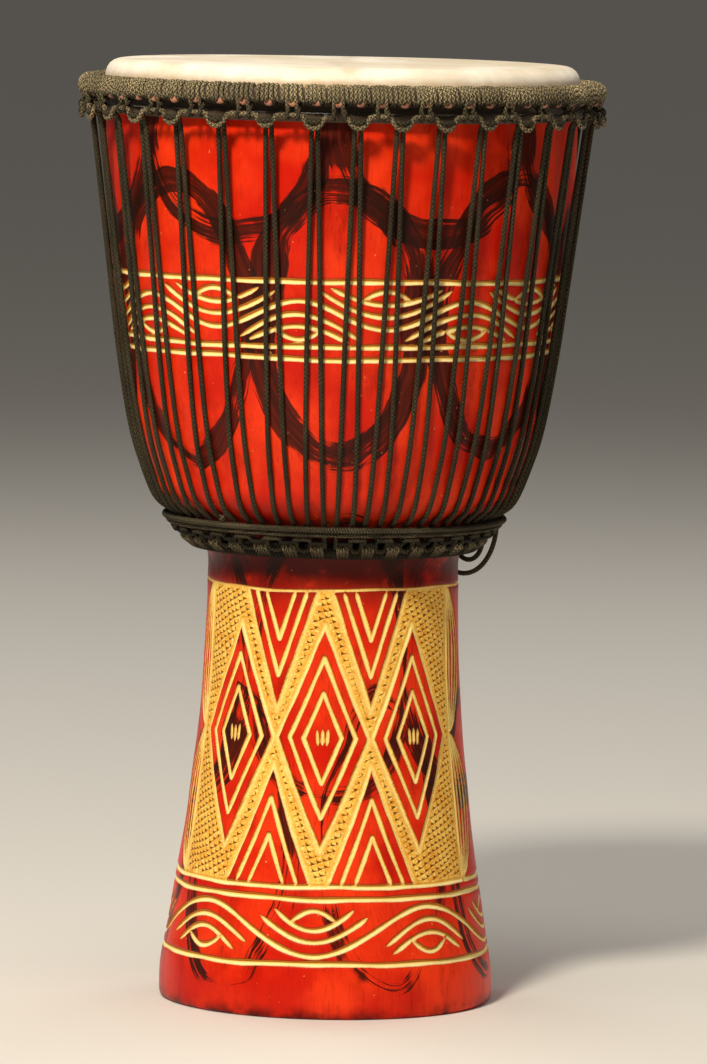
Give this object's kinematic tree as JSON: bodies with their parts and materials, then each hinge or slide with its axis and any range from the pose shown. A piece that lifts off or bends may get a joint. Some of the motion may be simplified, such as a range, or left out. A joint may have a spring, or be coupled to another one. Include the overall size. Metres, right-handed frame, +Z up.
{
  "type": "djembe",
  "caption": "Rope-tuned goblet hand drum carved from one log, with a goatskin head folded on a steel ring, wrapped crown and bottom rings and a zigzag lacing rope.",
  "frame": {"origin": "centre of the base, on the surface the drum stands on", "axes": "+Z up along the drum's axis to the head, -Y towards the front, +X to the viewer's right"},
  "size_m": [0.3374, 0.3374, 0.6],
  "materials": {
    "painted_wood": "red stain and clear varnish over carved raw wood, with black brush strokes",
    "goatskin": "shaved natural skin, matt",
    "ring_steel": "bare rod",
    "black_rope": "braided low-stretch rope, faded black",
    "wrap_cloth": "torn cotton strip",
    "waist_cord": "braided rope with pale tracer strands"
  },
  "bodies": {
    "root": {"shell": "painted_wood", "drumhead": "goatskin", "flesh_ring": "ring_steel", "crown_ring": "ring_steel", "crown_cloth": "wrap_cloth", "crown_binding": "black_rope", "crown_loop_cord": "black_rope", "lacing_rope": "black_rope", "bottom_ring": "ring_steel", "bottom_binding": "black_rope", "bottom_loop_cord": "black_rope", "waist_cord_upper": "waist_cord", "waist_cord_lower": "waist_cord", "rope_end_knot": "waist_cord", "slack_turn_outer": "black_rope", "slack_turn_inner": "black_rope"}
  },
  "joints": []
}
